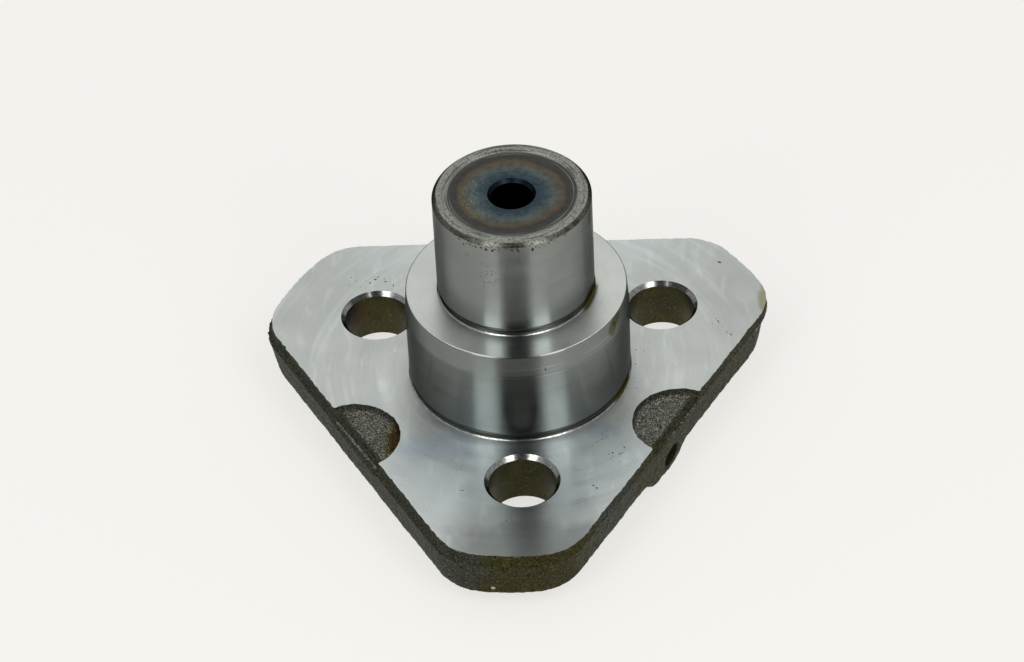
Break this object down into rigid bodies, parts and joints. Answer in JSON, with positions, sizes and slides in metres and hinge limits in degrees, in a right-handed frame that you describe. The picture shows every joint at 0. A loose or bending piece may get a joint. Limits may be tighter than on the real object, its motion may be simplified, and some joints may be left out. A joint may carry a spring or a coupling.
{
  "type": "king pin",
  "caption": "One-piece forged king pin: a bolted triangular flange with pry pockets, a pilot collar, a ground journal pin, a grease bore down its axis and a grease port in one edge.",
  "frame": {"origin": "on the pin's axis at the machined face of the flange", "axes": "+Z along the pin, towards its free end; -Y towards one bolt hole; the grease port opens 30 degrees from +X towards -Y"},
  "size_m": [0.1376, 0.1266, 0.081],
  "materials": {
    "steel": "forged, then turned and ground, with the edges and pockets left as forged"
  },
  "bodies": {
    "root": {"king_pin": "steel"}
  },
  "joints": []
}
